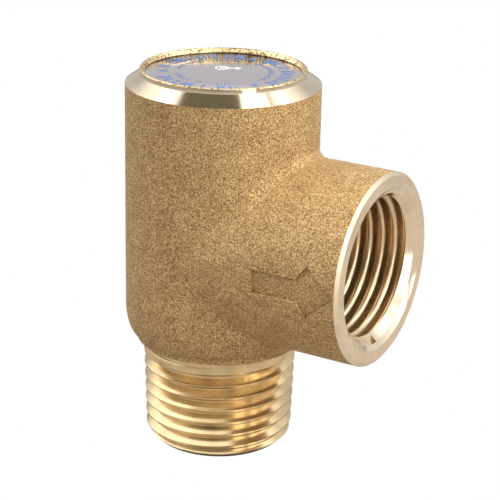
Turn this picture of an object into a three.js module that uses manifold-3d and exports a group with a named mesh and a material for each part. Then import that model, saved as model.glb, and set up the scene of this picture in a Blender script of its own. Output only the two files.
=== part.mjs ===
// Angle-pattern pressure relief valve: male 1/2 in. NPT inlet, female 1/2 in. NPT outlet.
// Millimetres, +Z up. The origin is the centre of the inlet end face; the outlet faces +X.
import * as THREE from 'three';
import { mergeVertices } from 'three/addons/utils/BufferGeometryUtils.js';
import Module from 'manifold-3d';

const wasm = await Module();
wasm.setup();

// ---------------------------------------------------------------- driving dimensions
// Overall
const overallHeight = 52.8; // inlet end face to the crest of the crimped lip
const outletReach = 24.7; // valve axis to outlet face
const outletHeight = 29.3; // inlet end face to outlet axis

// Pipe threads, 14 to the inch, taper 1 in 16 on diameter
const pipePitch = 25.4 / 14;
const pipeTaper = 1 / 32; // radius lost per mm of length
const pipeThreadDepth = 1.3;
const pipeCrestWidth = 0.22;
const pipeRootShare = 0.93; // ridge width at its root, per pitch
const inletCrestRadius = 10.6; // at the neck
const inletThreadLength = 13.4;
const inletLeadChamfer = 1.1;
const outletCrestRadius = 9.23; // at the first crest inside the mouth
const outletThreadLength = 10.6;

// Inlet, neck and seat
const inletWall = 1.35; // thread root to inlet bore, at the end face
const reliefWidth = 1.45; // plain band between thread and neck
const reliefDepth = 0.1; // below the thread crest
const neckLedge = 0.95; // neck radius beyond the thread crest
const neckBand = 1.0;
const shoulderStep = 0.35;
const shoulderHeight = 4.3;
const orificeRadius = 5.4;
const throatRise = 0.2; // neck to the foot of the orifice
const seatLand = 1.0;
const seatFloorRise = 2.5; // neck to chamber floor
const nozzleHeight = 2.2;
const nozzleDraft = 0.8;

// Chamber and outlet boss
const skirtWall = 0.85;
const discOverlap = 0.5; // disc radius beyond the seat land
const flowGap = 1.3; // disc holder to chamber wall
const bodyWall = 3.95;
const bossWall = 2.47;
const outletBoreStep = 1.0; // outlet bore inside the thread crest
const outletEdgeChamfer = 0.4; // along the axis
const outletEdgeRun = 0.56; // its width on radius
const outletMouthDepth = 1.65;
const outletMouthStep = 0.5; // depth of the first, flatter mouth chamfer
const outletMouthRise = 0.67; // radius gained over that first chamfer
const outletLeadRise = 0.87; // radius gained from the first crest to it

// Bonnet end
const lipHeight = 0.72;
const lipThickness = 0.25;
const lipOverhang = 0.1; // lip's inner wall inside the nameplate's edge
const lipRounding = 0.15;
const rimChamferSlope = 0.69; // height lost per mm of radius
const plateThickness = 0.8;
const plateRecess = 0.6; // lip crest to nameplate
const plateLedge = 0.94; // width of the ledge under the nameplate
const plateStandoff = 0.65; // ledge to lock ring
const plugPitch = 1.5;
const plugThreadDepth = 0.81;
const plugCrestWidth = 0.19;
const plugRootShare = 0.85; // ridge width at its root, per pitch
const plugThreadLength = 4.2;
const plugNoseLength = 4.6;
const plugNoseLip = 0.7; // nose end to the ring groove
const plugGuideRoof = 1.2;
const lockRingHeight = 1.6;
const lockRingBore = 5.6;
const pinHoleRadius = 1.2;
const pinHoleDepth = 1.8;
const pinHoleCircle = 4.2;
const ringSlotWidth = 2.4;
const ringSlotDepth = 0.8;

// Disc stack and stem
const discThickness = 2.35;
const discExposed = 0.8; // disc standing below the holder's skirt
const holderHeight = 4.0; // skirt edge to spring shoulder
const hubHeight = 2.2;
const hubRadius = 4.2;
const stemRadius = 2.0;
const stemShankRadius = 1.75;
const stemCollarRadius = 3.0;
const stemCollarHeight = 1.2;
const stemTail = 0.4; // stem below the nut
const stemEngagement = 2.3; // stem inside the plug's guide bore, valve shut
const washerRadius = 4.2;
const washerThickness = 0.8;
const nutAcrossFlats = 6.0;
const nutHeight = 1.8;

// Spring and seals
const springWire = 1.5;
const springClearance = 0.5; // coil bore to hub
const springActivePitch = 2.45;
const springEndPitch = 1.04; // of the closed coils, per wire diameter
const springGround = 0.15; // centre of the end coil to the ground face, per wire diameter
const springSeatRadius = 7.6;
const springSeatThickness = 1.45;
const springSeatHub = 1.5;
const ringSectionRadius = 0.8;
const ringGrooveWidth = 1.8;

// Flow arrow sunk into the outlet boss
const arrowDepth = 0.45;
const arrowTail = 12.7; // from the valve axis
const arrowLength = 11.1;
const arrowShaftHalf = 1.45;
const arrowHeadHalf = 3.25;
const arrowHeadLength = 3.75;
const arrowHeadSweep = 1.3;

// Clearances
const restGap = 0.05; // faces that rest on each other
const runningGap = 0.1; // shafts in their holes, on radius
const ringGap = 0.08; // seal to the body bore, on radius
const grooveGap = 0.02; // seal to the groove's floor, on radius
const guideGap = 0.2; // stem in its guide bore, on radius
const noseGap = 0.2; // plug nose in the body bore, on radius
const threadGap = 0.15; // plug and ring threads, on radius
const adjustRoom = plugPitch; // one full turn of the plug

// Broken edges
const edgeBreak = 0.3;
const leadBreak = 0.4;
const plateEdgeBreak = 0.15;

// Facets
const ringSides = 48;
const smallSides = 24;
const pinHoleSides = 16;
const ringSectionSides = 8;
const threadSteps = 20; // per turn, and sides of a threaded core or bore
const springSteps = 14; // per turn
const springSides = 6;
const arcSteps = 4;
const weldDistance = 1e-4;
const threadSink = 0.15; // ridges start inside their cores
const overcut = 1.0; // cutters run past the faces they open

// ---------------------------------------------------------------- worked-out places
const TAU = 2 * Math.PI;

const inletCrestAt = (z) => inletCrestRadius - (inletThreadLength - z) * pipeTaper;
const inletBore = inletCrestAt(0) - pipeThreadDepth - inletWall;
const neckZ = inletThreadLength + reliefWidth;
const neckRadius = inletCrestRadius + neckLedge;
const shoulderZ = neckZ + neckBand;

const floorZ = neckZ + seatFloorRise;
const seatZ = floorZ + nozzleHeight;
const throatZ = neckZ + throatRise;
const nozzleRadius = orificeRadius + seatLand;
const discRadius = nozzleRadius + discOverlap;
const holderRadius = discRadius + runningGap + skirtWall;
const chamberRadius = holderRadius + flowGap;
const bodyRadius = chamberRadius + bodyWall;

const outletThreadStart = outletReach - outletMouthDepth;
const outletCrestAt = (x) => outletCrestRadius - (outletThreadStart - x) * pipeTaper;
const outletRootRadius = outletCrestRadius + pipeThreadDepth;
const bossRadius = outletRootRadius + bossWall;
const outletBore = outletCrestRadius - outletBoreStep;
const outletFaceRadius = bossRadius - outletEdgeRun;
const mouthRootRadius = outletCrestRadius + outletLeadRise;
const mouthRadius = mouthRootRadius + outletMouthRise;

const discZ = seatZ + restGap;
const discTop = discZ + discThickness;
const skirtZ = discZ + discExposed;
const springZ = skirtZ + holderHeight;
const hubTop = springZ + hubHeight;
const washerTop = discZ - restGap;
const nutTop = washerTop - washerThickness - restGap;

const plateTop = overallHeight - plateRecess;
const plateZ = plateTop - plateThickness;
const ledgeZ = plateZ - restGap;
const ringTop = ledgeZ - plateStandoff;
const plugTop = ringTop - lockRingHeight - restGap;
const noseTop = plugTop - plugThreadLength;
const noseZ = noseTop - plugNoseLength;
const grooveZ = noseZ + plugNoseLip;
const springSeatTop = noseZ - restGap;
const springSeatZ = springSeatTop - springSeatThickness;
const springTop = springSeatZ - restGap;

const plugMajor = chamberRadius + plugThreadDepth + runningGap;
const plugCore = chamberRadius - threadGap;
const noseRadius = chamberRadius - noseGap;
const plugBoreZ = noseTop - adjustRoom - noseGap;
const recessRadius = plugMajor + plateLedge;
const plateRadius = recessRadius - runningGap;
const rimRadius = recessRadius + lipThickness;
const rimZ = overallHeight - lipHeight;
const stemTop = noseZ + stemEngagement;
const guideTop = plugTop - plugGuideRoof;
const springRadius = hubRadius + springClearance + springWire / 2;

// ---------------------------------------------------------------- solids
function signedVolume(corners, faces) {
  const [a, b, c] = [new THREE.Vector3(), new THREE.Vector3(), new THREE.Vector3()];
  let volume = 0;
  for (let i = 0; i < faces.length; i += 3) {
    a.fromBufferAttribute(corners, faces[i]);
    b.fromBufferAttribute(corners, faces[i + 1]);
    c.fromBufferAttribute(corners, faces[i + 2]);
    volume += a.dot(b.cross(c)) / 6;
  }
  return volume;
}

// A closed geometry as a manifold solid, its faces turned outwards.
function solid(geometry) {
  geometry.deleteAttribute('normal');
  geometry.deleteAttribute('uv');
  const welded = mergeVertices(geometry, weldDistance);
  const corners = welded.getAttribute('position');
  const drawn = welded.index.array;
  const faces = [];
  for (let i = 0; i < drawn.length; i += 3) {
    const [a, b, c] = [drawn[i], drawn[i + 1], drawn[i + 2]];
    if (a !== b && b !== c && c !== a) faces.push(a, b, c);
  }
  if (signedVolume(corners, faces) < 0) faces.reverse();
  return new wasm.Manifold(new wasm.Mesh({
    numProp: 3,
    vertProperties: new Float32Array(corners.array),
    triVerts: new Uint32Array(faces),
  }));
}

function part(name, shape, material) {
  const mesh = shape.getMesh();
  const geometry = new THREE.BufferGeometry();
  geometry.setAttribute('position', new THREE.BufferAttribute(mesh.vertProperties, 3));
  geometry.setIndex(new THREE.BufferAttribute(mesh.triVerts, 1));
  geometry.computeVertexNormals();
  const node = new THREE.Mesh(geometry, material);
  node.name = name;
  return node;
}

// A profile of [radius, height] pairs turned about +Z; an open profile starts and ends on the axis.
function turned(profile, sides = ringSides) {
  const points = profile.map(([r, z]) => new THREE.Vector2(r, z));
  const onAxis = points[0].x === 0 && points.at(-1).x === 0;
  if (!onAxis) points.push(points[0].clone());
  return new THREE.LatheGeometry(points, sides).rotateX(Math.PI / 2);
}

// A profile of [radius, distance along +X] pairs turned about the outlet axis.
function turnedOnOutlet(profile, sides = ringSides) {
  return turned(profile, sides).rotateY(Math.PI / 2).translate(0, 0, outletHeight);
}

function rod(radius, low, high, sides = smallSides) {
  return turned([[0, low], [radius, low], [radius, high], [0, high]], sides);
}

// A helix about +Z. A section swept along it has x outwards and y along the axis.
class Helix extends THREE.Curve {
  constructor(turns, radiusAt, heightAt) {
    super();
    this.turns = turns;
    this.radiusAt = radiusAt;
    this.heightAt = heightAt;
  }

  getPoint(t, target = new THREE.Vector3()) {
    const angle = TAU * this.turns * t;
    const z = this.heightAt(t);
    const r = this.radiusAt(z);
    return target.set(r * Math.cos(angle), r * Math.sin(angle), z);
  }

  getSpacedPoints(divisions) {
    return this.getPoints(divisions);
  }

  computeFrenetFrames(segments) {
    const frames = { tangents: [], normals: [], binormals: [] };
    for (let i = 0; i <= segments; i++) {
      const angle = (TAU * this.turns * i) / segments;
      frames.tangents.push(new THREE.Vector3(-Math.sin(angle), Math.cos(angle), 0));
      frames.normals.push(new THREE.Vector3(Math.cos(angle), Math.sin(angle), 0));
      frames.binormals.push(new THREE.Vector3(0, 0, 1));
    }
    return frames;
  }
}

// One V-shaped ridge wound from start over a length, from just inside the root radius to the crest.
function threadRidge({ radiusAt, depth, crestWidth, rootWidth, pitch, start, length }) {
  const slope = (rootWidth - crestWidth) / 2 / depth;
  const low = crestWidth / 2 + slope * (depth + threadSink);
  const section = new THREE.Shape([
    new THREE.Vector2(-threadSink, -low),
    new THREE.Vector2(depth, -crestWidth / 2),
    new THREE.Vector2(depth, crestWidth / 2),
    new THREE.Vector2(-threadSink, low),
  ]);
  const turns = length / pitch;
  const heightAt = (t) => start + length * t;
  const path = new Helix(turns, radiusAt, heightAt);
  const steps = Math.ceil(turns * threadSteps);
  return new THREE.ExtrudeGeometry(section, { steps, extrudePath: path, bevelEnabled: false });
}

// Outside thread of the plug or the lock ring, cut off square at both faces.
function plugThread(low, high) {
  const ridge = solid(threadRidge({
    radiusAt: () => plugCore,
    depth: plugMajor - threadGap - plugCore,
    crestWidth: plugCrestWidth,
    rootWidth: plugPitch * plugRootShare,
    pitch: plugPitch,
    start: low - plugPitch,
    length: high - low + 2 * plugPitch,
  }));
  return ridge.intersect(solid(rod(plugMajor + overcut, low, high, threadSteps)));
}

// ---------------------------------------------------------------- valve body
function inletThread() {
  const rootAt = (z) => inletCrestAt(z) - pipeThreadDepth;
  const runout = inletThreadLength - pipePitch;
  const reliefRadius = inletCrestRadius - reliefDepth;
  const core = solid(turned([
    [0, 0], [rootAt(0), 0], [rootAt(runout), runout], [reliefRadius, inletThreadLength],
    [reliefRadius, neckZ + overcut], [0, neckZ + overcut],
  ], threadSteps));
  const ridge = solid(threadRidge({
    radiusAt: rootAt,
    depth: pipeThreadDepth,
    crestWidth: pipeCrestWidth,
    rootWidth: pipePitch * pipeRootShare,
    pitch: pipePitch,
    start: -pipePitch / 2,
    length: inletThreadLength,
  }));
  const leadRadius = inletCrestAt(0) - inletLeadChamfer;
  const flare = inletLeadChamfer + overcut;
  const blank = solid(turned([
    [0, 0], [leadRadius, 0], [leadRadius + flare, flare],
    [leadRadius + flare, neckZ + overcut], [0, neckZ + overcut],
  ]));
  return core.add(ridge).intersect(blank);
}

// Neck band, rounded shoulder, barrel, rim chamfer and the lip that is crimped over the nameplate.
function barrel() {
  const shoulderRadius = neckRadius + shoulderStep;
  const rise = bodyRadius - shoulderRadius;
  const shoulder = [];
  for (let i = 0; i <= arcSteps; i++) {
    const angle = (Math.PI / 2) * (i / arcSteps);
    const radius = shoulderRadius + rise * Math.sin(angle);
    shoulder.push([radius, shoulderZ + shoulderHeight * (1 - Math.cos(angle))]);
  }
  const chamferZ = rimZ - (bodyRadius - rimRadius) * rimChamferSlope;
  const lipRadius = plateRadius - lipOverhang;
  return solid(turned([
    [0, neckZ], [neckRadius, neckZ], [neckRadius, shoulderZ],
    ...shoulder,
    [bodyRadius, chamferZ], [rimRadius, rimZ], [rimRadius, overallHeight - lipRounding],
    [rimRadius - lipRounding, overallHeight], [lipRadius + lipRounding / 2, overallHeight],
    [lipRadius, overallHeight - lipRounding], [lipRadius, plateTop + lipRounding],
    [recessRadius, plateTop + restGap], [recessRadius, ledgeZ], [0, ledgeZ],
  ]));
}

function outletBoss() {
  return solid(turnedOnOutlet([
    [0, 0], [bossRadius, 0], [bossRadius, outletReach - outletEdgeChamfer],
    [outletFaceRadius, outletReach], [0, outletReach],
  ]));
}

// Chamber, nozzle with its raised seat, orifice and inlet bore, cut from above and below.
function wetBore() {
  const chamberTop = plugBoreZ + noseGap;
  const nozzleBase = nozzleRadius + nozzleDraft;
  const chamber = solid(turned([
    [0, seatZ], [nozzleRadius, seatZ], [nozzleBase, floorZ], [chamberRadius, floorZ],
    [chamberRadius, chamberTop], [0, chamberTop],
  ]));
  const coneZ = throatZ - Math.abs(inletBore - orificeRadius);
  const inlet = solid(turned([
    [0, -overcut], [inletBore + edgeBreak, -overcut], [inletBore + edgeBreak, 0],
    [inletBore, edgeBreak], [inletBore, coneZ], [orificeRadius, throatZ],
    [orificeRadius, seatZ + overcut], [0, seatZ + overcut],
  ]));
  return chamber.add(inlet);
}

// The tapped stretch above the chamber, drawn plain at the thread's major radius.
function plugBore() {
  return solid(turned([
    [0, plugBoreZ], [plugMajor, plugBoreZ], [plugMajor, ledgeZ + overcut],
    [0, ledgeZ + overcut],
  ]));
}

function outletTapping() {
  const end = outletThreadStart - outletThreadLength;
  const mouth = outletReach - outletMouthStep;
  const bore = solid(turnedOnOutlet([
    [0, 0], [outletBore, 0], [outletBore, end - outletBoreStep], [outletCrestAt(end), end],
    [outletCrestRadius, outletThreadStart + pipeTaper], [0, outletThreadStart + pipeTaper],
  ], threadSteps));
  const countersink = solid(turnedOnOutlet([
    [0, outletThreadStart], [outletCrestRadius, outletThreadStart], [mouthRootRadius, mouth],
    [mouthRadius, outletReach], [mouthRadius, outletReach + overcut],
    [0, outletReach + overcut],
  ]));
  const groove = solid(threadRidge({
    radiusAt: outletCrestAt,
    depth: pipeThreadDepth,
    crestWidth: pipeCrestWidth,
    rootWidth: pipePitch * pipeRootShare,
    pitch: pipePitch,
    start: end + pipePitch,
    length: outletThreadLength,
  }).rotateY(Math.PI / 2).translate(0, 0, outletHeight));
  return bore.add(groove).add(countersink);
}

// An arrow prism through the boss wall, less the cylinder that forms the pocket's curved floor.
function flowArrow() {
  const tip = arrowTail + arrowLength;
  const barb = tip - arrowHeadLength;
  const root = barb - arrowHeadSweep;
  const outline = new THREE.Shape([
    new THREE.Vector2(arrowTail, -arrowShaftHalf), new THREE.Vector2(root, -arrowShaftHalf),
    new THREE.Vector2(barb, -arrowHeadHalf), new THREE.Vector2(tip, 0),
    new THREE.Vector2(barb, arrowHeadHalf), new THREE.Vector2(root, arrowShaftHalf),
    new THREE.Vector2(arrowTail, arrowShaftHalf),
  ]);
  const depth = bossRadius / 2;
  const prism = new THREE.ExtrudeGeometry(outline, { depth, bevelEnabled: false });
  prism.rotateX(Math.PI / 2).translate(0, -bossRadius + depth - overcut, outletHeight);
  const floorRadius = bossRadius - arrowDepth;
  const floor = solid(turnedOnOutlet([
    [0, 0], [floorRadius, 0], [floorRadius, outletReach + overcut], [0, outletReach + overcut],
  ]));
  return solid(prism).subtract(floor);
}

function valveBody() {
  return inletThread().add(barrel()).add(outletBoss())
    .subtract(wetBore())
    .subtract(outletTapping())
    .subtract(plugBore())
    .subtract(flowArrow());
}

// ---------------------------------------------------------------- disc stack
function seatDisc() {
  const hole = stemShankRadius + runningGap;
  return solid(turned([
    [hole, discZ], [discRadius, discZ], [discRadius, discTop], [hole, discTop],
  ], smallSides));
}

// Cup that carries the disc, with a shoulder and hub for the spring.
function discHolder() {
  const hole = stemShankRadius + runningGap;
  const roof = discTop + restGap;
  return solid(turned([
    [hole, roof], [discRadius + runningGap, roof], [discRadius + runningGap, skirtZ],
    [holderRadius, skirtZ], [holderRadius, springZ - leadBreak],
    [holderRadius - leadBreak, springZ], [hubRadius, springZ], [hubRadius, hubTop - edgeBreak],
    [hubRadius - edgeBreak, hubTop], [hole, hubTop],
  ], smallSides));
}

function discWasher() {
  const hole = stemShankRadius + runningGap;
  const low = washerTop - washerThickness;
  return solid(turned([
    [hole, low], [washerRadius, low], [washerRadius, washerTop], [hole, washerTop],
  ], smallSides));
}

function discNut() {
  const corner = nutAcrossFlats / Math.sqrt(3);
  const outline = new THREE.Shape();
  for (let i = 0; i < 6; i++) {
    const angle = (TAU * i) / 6;
    const point = [corner * Math.cos(angle), corner * Math.sin(angle)];
    if (i === 0) outline.moveTo(...point);
    else outline.lineTo(...point);
  }
  const hole = new THREE.Path().absarc(0, 0, stemShankRadius + runningGap, 0, TAU, true);
  outline.holes.push(hole);
  const blank = new THREE.ExtrudeGeometry(outline, {
    depth: nutHeight,
    bevelEnabled: false,
    curveSegments: smallSides,
  });
  return solid(blank.translate(0, 0, nutTop - nutHeight));
}

// Threaded shank through the stack, collar on the holder's hub, plain stem up into the plug.
function guideStem() {
  const low = nutTop - nutHeight - stemTail;
  const collarZ = hubTop + restGap;
  const collarTop = collarZ + stemCollarHeight;
  return solid(turned([
    [0, low], [stemShankRadius - edgeBreak, low], [stemShankRadius, low + edgeBreak],
    [stemShankRadius, collarZ], [stemCollarRadius, collarZ], [stemCollarRadius, collarTop],
    [stemRadius, collarTop], [stemRadius, stemTop - leadBreak],
    [stemRadius - leadBreak, stemTop], [0, stemTop],
  ], smallSides));
}

// ---------------------------------------------------------------- spring and adjustment
// Closed and ground ends; the active coils share out whatever height is left between them.
function spring() {
  const low = springZ + restGap;
  const closed = springWire * springEndPitch;
  const ground = springWire * springGround;
  const first = low + ground;
  const active = springTop - ground - closed - (first + closed);
  const activeTurns = Math.max(1, Math.round(active / springActivePitch));
  const turns = activeTurns + 2;
  const heightAt = (t) => {
    const turn = t * turns;
    const inActive = THREE.MathUtils.clamp(turn - 1, 0, activeTurns);
    return first + closed * (turn - inActive) + (active / activeTurns) * inActive;
  };
  const section = new THREE.Shape();
  for (let i = 0; i < springSides; i++) {
    const angle = (TAU * i) / springSides;
    const point = [(springWire / 2) * Math.cos(angle), (springWire / 2) * Math.sin(angle)];
    if (i === 0) section.moveTo(...point);
    else section.lineTo(...point);
  }
  const path = new Helix(turns, () => springRadius, heightAt);
  const steps = Math.ceil(turns * springSteps);
  const swept = { steps, extrudePath: path, bevelEnabled: false };
  const coil = solid(new THREE.ExtrudeGeometry(section, swept));
  return coil.intersect(solid(rod(springRadius + springWire, low, springTop)));
}

function springSeat() {
  const hole = stemRadius + guideGap;
  const hubZ = springSeatZ - springSeatHub;
  return solid(turned([
    [hole, hubZ], [hubRadius - edgeBreak, hubZ], [hubRadius, hubZ + edgeBreak],
    [hubRadius, springSeatZ], [springSeatRadius, springSeatZ],
    [springSeatRadius, springSeatTop - edgeBreak],
    [springSeatRadius - edgeBreak, springSeatTop], [hole, springSeatTop],
  ], smallSides));
}

// Plug with a ring groove in its plain nose, a blind guide bore and two holes for a pin spanner.
function adjustingPlug() {
  const grooveFloor = chamberRadius - ringGap - 2 * ringSectionRadius - grooveGap;
  const guide = stemRadius + guideGap;
  let plug = solid(turned([
    [guide, noseZ], [noseRadius - leadBreak, noseZ], [noseRadius, noseZ + leadBreak],
    [noseRadius, grooveZ],
    [grooveFloor, grooveZ], [grooveFloor, grooveZ + ringGrooveWidth],
    [noseRadius, grooveZ + ringGrooveWidth], [noseRadius, noseTop], [plugCore, noseTop],
    [plugCore, plugTop], [0, plugTop], [0, guideTop], [guide, guideTop],
  ].reverse(), threadSteps));
  plug = plug.add(plugThread(noseTop, plugTop));
  for (const side of [-1, 1]) {
    const hole = rod(pinHoleRadius, plugTop - pinHoleDepth, plugTop + overcut, pinHoleSides);
    plug = plug.subtract(solid(hole.translate(side * pinHoleCircle, 0, 0)));
  }
  return plug;
}

// O-ring in the plug's groove.
function plugRing() {
  const centreZ = grooveZ + ringGrooveWidth / 2;
  const centreRadius = chamberRadius - ringGap - ringSectionRadius;
  const profile = [];
  for (let i = 0; i < ringSectionSides; i++) {
    const angle = (TAU * i) / ringSectionSides;
    const radius = centreRadius + ringSectionRadius * Math.cos(angle);
    profile.push([radius, centreZ + ringSectionRadius * Math.sin(angle)]);
  }
  return solid(turned(profile, threadSteps));
}

// Threaded ring run down onto the plug, with a slot across it for a flat spanner.
function lockRing() {
  const low = ringTop - lockRingHeight;
  const blank = solid(turned([
    [lockRingBore, low], [plugCore, low], [plugCore, ringTop], [lockRingBore, ringTop],
  ], threadSteps));
  const slot = new THREE.BoxGeometry(3 * plugMajor, ringSlotWidth, 2 * ringSlotDepth);
  const threaded = blank.add(plugThread(low, ringTop));
  return threaded.subtract(solid(slot.translate(0, 0, ringTop)));
}

function nameplate() {
  return solid(turned([
    [0, plateZ], [plateRadius, plateZ], [plateRadius, plateTop - plateEdgeBreak],
    [plateRadius - plateEdgeBreak, plateTop], [0, plateTop],
  ]));
}

// ---------------------------------------------------------------- finishes
function finish(color, roughness, metalness) {
  return new THREE.MeshStandardMaterial({ color, roughness, metalness });
}

const bronze = finish(0xb08a5c, 0.42, 0.9);
const brass = finish(0xc9a35c, 0.3, 0.95);
const stainless = finish(0xa9abad, 0.3, 1.0);
const springSteel = finish(0x8f9296, 0.35, 1.0);
const aluminium = finish(0xb8b4b2, 0.35, 1.0);
const rubber = finish(0x1c1c1e, 0.8, 0.0);

// ---------------------------------------------------------------- assembly
const group = new THREE.Group();
group.add(
  part('valve_body', valveBody(), bronze),
  part('disc_holder', discHolder(), brass),
  part('seat_disc', seatDisc(), rubber),
  part('disc_washer', discWasher(), stainless),
  part('disc_nut', discNut(), stainless),
  part('guide_stem', guideStem(), stainless),
  part('spring', spring(), springSteel),
  part('spring_seat', springSeat(), brass),
  part('adjusting_plug', adjustingPlug(), brass),
  part('plug_ring', plugRing(), rubber),
  part('lock_ring', lockRing(), brass),
  part('nameplate', nameplate(), aluminium),
);

export default group;
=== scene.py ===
import math
import random

import bmesh
import bpy
from mathutils import Matrix, Vector, noise


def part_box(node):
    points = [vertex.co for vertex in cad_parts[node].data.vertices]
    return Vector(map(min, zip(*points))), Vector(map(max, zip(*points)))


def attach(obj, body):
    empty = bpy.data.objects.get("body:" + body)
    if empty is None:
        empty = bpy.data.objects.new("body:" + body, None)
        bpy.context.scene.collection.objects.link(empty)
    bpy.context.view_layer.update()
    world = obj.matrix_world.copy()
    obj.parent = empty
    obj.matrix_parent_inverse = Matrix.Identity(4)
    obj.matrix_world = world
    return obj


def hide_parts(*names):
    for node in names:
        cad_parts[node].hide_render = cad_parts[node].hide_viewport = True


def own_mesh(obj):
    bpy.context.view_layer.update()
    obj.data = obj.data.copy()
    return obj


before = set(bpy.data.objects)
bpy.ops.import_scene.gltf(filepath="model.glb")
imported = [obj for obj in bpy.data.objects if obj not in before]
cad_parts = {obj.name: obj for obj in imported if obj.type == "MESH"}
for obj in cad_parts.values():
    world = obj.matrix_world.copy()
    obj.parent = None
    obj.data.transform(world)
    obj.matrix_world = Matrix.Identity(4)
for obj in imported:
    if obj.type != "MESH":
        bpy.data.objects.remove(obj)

bl_info = {
    "name": "Angle Relief Valve",
    "version": (1, 0, 0),
    "blender": (4, 5, 0),
    "location": "View3D > Sidebar > Relief Valve",
    "description": "Builds a small bronze angle relief valve around its CAD frame",
    "category": "Object",
}

MM = 0.001
TAU = math.tau
UP = Vector((0, 0, 1))
SHARP = math.radians(30)
PIPE_TAPER = 1 / 32
COUNTERSINK = 1.65 * MM
GAP = 0.05 * MM
OVERCUT = 3 * MM
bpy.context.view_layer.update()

# Places that come from the frame, in metres.
BODY_LOW, BODY_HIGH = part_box("valve_body")
PLATE_LOW, PLATE_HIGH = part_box("nameplate")
HOLDER_LOW, HOLDER_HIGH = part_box("disc_holder")
DISC_LOW, DISC_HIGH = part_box("seat_disc")
WASHER_LOW, WASHER_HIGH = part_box("disc_washer")
NUT_LOW, NUT_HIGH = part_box("disc_nut")
STEM_LOW, STEM_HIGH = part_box("guide_stem")
SPRING_LOW, SPRING_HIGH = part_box("spring")
SEAT_LOW, SEAT_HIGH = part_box("spring_seat")
PLUG_LOW, PLUG_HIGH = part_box("adjusting_plug")
RING_LOW, RING_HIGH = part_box("plug_ring")
LOCK_LOW, LOCK_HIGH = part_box("lock_ring")

LIP_RADIUS = PLATE_HIGH.x + 0.26 * MM
PLATE_LEDGE = PLATE_LOW.z - GAP
VALVE_SEAT = DISC_LOW.z - GAP

# Face material indices of the valve body.
CAST, RIM, FACE, THREAD, BORE, LIP, TAPPED, MOUTH = range(8)


# ---------------------------------------------------------------- settings
def length(name, description, default):
    return bpy.props.FloatProperty(
        name=name, description=description, default=default, unit="LENGTH", precision=5
    )


def angle(name, description, degrees):
    return bpy.props.FloatProperty(
        name=name, description=description, default=math.radians(degrees), unit="ROTATION"
    )


def colour(name, description, default):
    return bpy.props.FloatVectorProperty(
        name=name, description=description, default=default, size=3, subtype="COLOR", min=0, max=1
    )


class CastingSizes(bpy.types.PropertyGroup):
    """Sizes of the cast part of the body."""

    barrel_radius: length("Barrel radius", "Outside of the barrel", -BODY_LOW.x)
    boss_radius: length("Boss radius", "Outside of the outlet boss", 13.0 * MM)
    outlet_height: length("Outlet height", "Inlet end to outlet axis", 29.3 * MM)
    neck_radius: length("Neck radius", "Outside of the band above the thread", 11.55 * MM)
    neck_height: length("Neck height", "Inlet end to the band's lower edge", 14.85 * MM)
    neck_band: length("Neck band", "Height of the band", 1.0 * MM)
    shoulder_step: length("Shoulder step", "Shoulder radius beyond the band", 0.35 * MM)
    shoulder_height: length("Shoulder height", "Rise of the rounded shoulder", 4.3 * MM)
    crease: length("Crease", "Width of the fillet between barrel and boss", 1.4 * MM)
    arrow_depth: length("Arrow depth", "Depth of the flow arrow's pocket", 0.5 * MM)
    skin_cell: length("Skin cell", "Size of the casting's surface mesh", 0.26 * MM)
    skin_depth: length("Skin depth", "Unevenness of the cast skin", 0.05 * MM)


class ThreadSizes(bpy.types.PropertyGroup):
    """Sizes of the two pipe threads and of the plug's thread."""

    pitch: length("Pitch", "Pipe thread pitch, 14 to the inch", 25.4 * MM / 14)
    depth: length("Depth", "Crest to root of the pipe threads", 1.22 * MM)
    inlet_crest: length("Inlet crest", "Crest radius at the neck", 10.6 * MM)
    inlet_length: length("Inlet length", "Threaded length of the inlet", 13.4 * MM)
    inlet_phase: angle("Inlet phase", "Where the inlet's thread starts", 25)
    outlet_crest: length("Outlet crest", "Crest radius at the mouth", 9.23 * MM)
    outlet_length: length("Outlet length", "Threaded length of the outlet", 10.6 * MM)
    outlet_phase: angle("Outlet phase", "Where the outlet's thread starts", 0)
    plug_pitch: length("Plug pitch", "Pitch of the plug's thread", 1.5 * MM)
    plug_crest: length("Plug crest", "Crest radius of the plug's thread", 9.86 * MM)
    plug_depth: length("Plug depth", "Crest to root of the plug's thread", 0.8 * MM)


class PlatePrint(bpy.types.PropertyGroup):
    """The nameplate's graduations, wedges and centre symbol."""

    outer_row: length("Outer row", "Middle radius of the outer row of bars", 8.45 * MM)
    outer_bar: length("Outer bar", "Length of a bar in the outer row", 1.9 * MM)
    inner_row: length("Inner row", "Middle radius of the inner row of bars", 6.3 * MM)
    inner_bar: length("Inner bar", "Length of a bar in the inner row", 0.75 * MM)
    wedge: length("Wedge", "Length of the three wedges", 1.7 * MM)
    ink: length("Ink", "Thickness of the print", 0.015 * MM)


class Finishes(bpy.types.PropertyGroup):
    """Colours of the finishes."""

    # The two cast colours are partly the grain's own colour and partly painted light: painted
    # glints on the bright grains and painted shade in the hollows between them.
    cast_grain_and_glint: colour("Cast light", "Bright grains of the casting", (0.78, 0.55, 0.27))
    cast_dark_and_hollow_shade: colour("Cast dark", "Hollows between the grains", (0.27, 0.155, 0.062))
    brass: colour("Brass", "Machined bronze", (0.93, 0.74, 0.44))
    golden_brass: colour("Golden brass", "Cut thread of the inlet", (0.86, 0.66, 0.38))
    bore_brass: colour("Bore brass", "Bores and tapped thread", (0.86, 0.68, 0.45))
    pale_brass: colour("Pale brass", "Satin outlet face", (0.90, 0.76, 0.57))
    trim: colour("Trim", "Brass inner parts", (0.85, 0.66, 0.34))
    steel: colour("Steel", "Stainless inner parts", (0.62, 0.62, 0.63))
    plate: colour("Plate", "Nameplate", (0.78, 0.72, 0.735))
    print_blue: colour("Print", "Ink of the nameplate", (0.045, 0.09, 0.23))
    rubber: colour("Rubber", "Seals", (0.02, 0.02, 0.022))


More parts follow.
